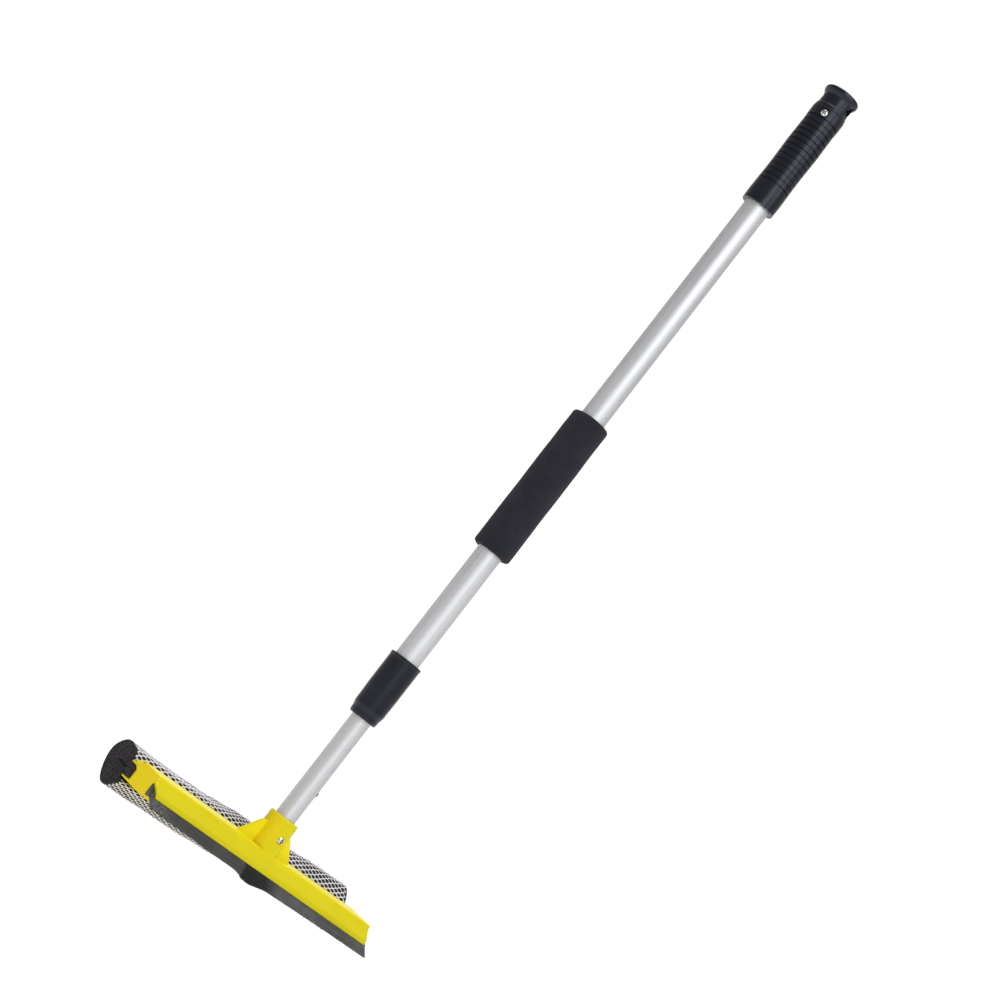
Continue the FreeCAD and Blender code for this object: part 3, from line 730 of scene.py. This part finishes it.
# ---- stage, light and camera ----
def make_stage():
    """A pale floor, lower than the head hangs when the pole is at its longest."""
    reach = max(j["range_m"][1] for j in frame["joints"] if j["name"] == "telescope")
    z = cad_box[0].z - reach - FLOOR_DROP
    corners = [(x * FLOOR_HALF, y * FLOOR_HALF, z) for x, y in ((-1, -1), (1, -1), (1, 1), (-1, 1))]
    mesh = bpy.data.meshes.new("floor")
    mesh.from_pydata(corners, [], [(0, 1, 2, 3)])
    p = Paint("floor_paint", Roughness=1.0, Specular_IOR_Level=0.0)
    p.shader.inputs["Base Color"].default_value = (1.0, 1.0, 1.0, 1)
    mesh.materials.append(p.material)
    floor = bpy.data.objects.new("floor", mesh)
    bpy.context.scene.collection.objects.link(floor)


def heading(degrees, distance, z):
    a = math.radians(degrees)
    return Vector((math.sin(a) * distance, -math.cos(a) * distance, z))


def make_light(name, place, target, wide, tall, watts, tint):
    data = bpy.data.lights.new(name, "AREA")
    data.shape = "RECTANGLE"
    data.size, data.size_y = wide, tall
    data.energy = watts
    data.color = tint
    light = bpy.data.objects.new(name, data)
    light.location = place
    light.rotation_euler = (target - place).to_track_quat("-Z", "Y").to_euler()
    bpy.context.scene.collection.objects.link(light)


def make_sun(name, strength, spread, tint):
    """Even light from straight above."""
    data = bpy.data.lights.new(name, "SUN")
    data.energy, data.angle, data.color = strength, math.radians(spread), tint
    bpy.context.scene.collection.objects.link(bpy.data.objects.new(name, data))


def make_sky():
    """A white backdrop on the far side, and a dimmer room on the near one."""
    world = bpy.data.worlds.new("studio")
    world.use_nodes = True
    tree = world.node_tree
    sky = tree.nodes["Background"]
    sky.inputs["Color"].default_value = (1, 1, 1, 1)
    way = tree.nodes.new("ShaderNodeTexCoord")
    facing = tree.nodes.new("ShaderNodeVectorMath")
    facing.operation = "DOT_PRODUCT"
    facing.inputs[1].default_value = heading(BACKDROP_HEADING, 1.0, 0.0)
    level = tree.nodes.new("ShaderNodeMapRange")
    level.interpolation_type = "SMOOTHSTEP"
    level.inputs["From Min"].default_value, level.inputs["From Max"].default_value = BACKDROP_EDGE
    level.inputs["To Min"].default_value = ROOM_LEVEL
    level.inputs["To Max"].default_value = BACKDROP_LEVEL
    tree.links.new(way.outputs["Generated"], facing.inputs[0])
    tree.links.new(facing.outputs["Value"], level.inputs["Value"])
    aside = tree.nodes.new("ShaderNodeVectorMath")
    aside.operation = "DOT_PRODUCT"
    aside.inputs[1].default_value = heading(BACKDROP_HEADING - 90, SIDE_LIFT, 0.0)
    tree.links.new(way.outputs["Generated"], aside.inputs[0])
    total = tree.nodes.new("ShaderNodeMath")
    tree.links.new(level.outputs["Result"], total.inputs[0])
    tree.links.new(aside.outputs["Value"], total.inputs[1])
    tree.links.new(total.outputs["Value"], sky.inputs["Strength"])
    bpy.context.scene.world = world


def make_lights():
    make_sky()
    middle = Vector((0, 0, -0.4))
    cap = Vector((0, 0, 0))
    make_light("key_strip", heading(-20, 2.4, 0.70), middle, 1.1, 2.0, KEY_WATTS, KEY_TINT)
    make_light("side_high", heading(14, 2.2, 0.75), cap, 0.9, 0.9, SIDE_WATTS, SIDE_TINT)
    make_sun("overhead", SUN_STRENGTH, SUN_SPREAD, SUN_TINT)


def make_camera():
    pan, tilt, roll = (math.radians(v) for v in (PAN, TILT, ROLL))
    forward = Vector((math.sin(pan) * math.cos(tilt), math.cos(pan) * math.cos(tilt), math.sin(tilt)))
    level = forward.cross(Vector((0, 0, 1))).normalized()
    upright = level.cross(forward)
    right = math.cos(roll) * level - math.sin(roll) * upright
    up = math.sin(roll) * level + math.cos(roll) * upright
    data = bpy.data.cameras.new("camera")
    data.lens, data.sensor_width = LENS, 36.0
    data.clip_start, data.clip_end = 0.05, 100.0
    camera = bpy.data.objects.new("camera", data)
    turn = Matrix((right, up, -forward)).transposed().to_4x4()
    place = heading(CAMERA_HEADING, CAMERA_DISTANCE, MOUTH_Z + CAMERA_HEIGHT)
    camera.matrix_world = Matrix.Translation(place) @ turn
    bpy.context.scene.collection.objects.link(camera)
    bpy.context.scene.camera = camera


bpy.context.scene.view_settings.view_transform = "Standard"
paints = make_paints()
paint_cad_nodes(paints)
make_sponge(paints["sponge_foam"])
make_net(paints["net_fabric"])
make_blade(paints["blade_rubber"])
make_foam_grip(paints["grip_foam"])
make_stage()
make_lights()
make_camera()
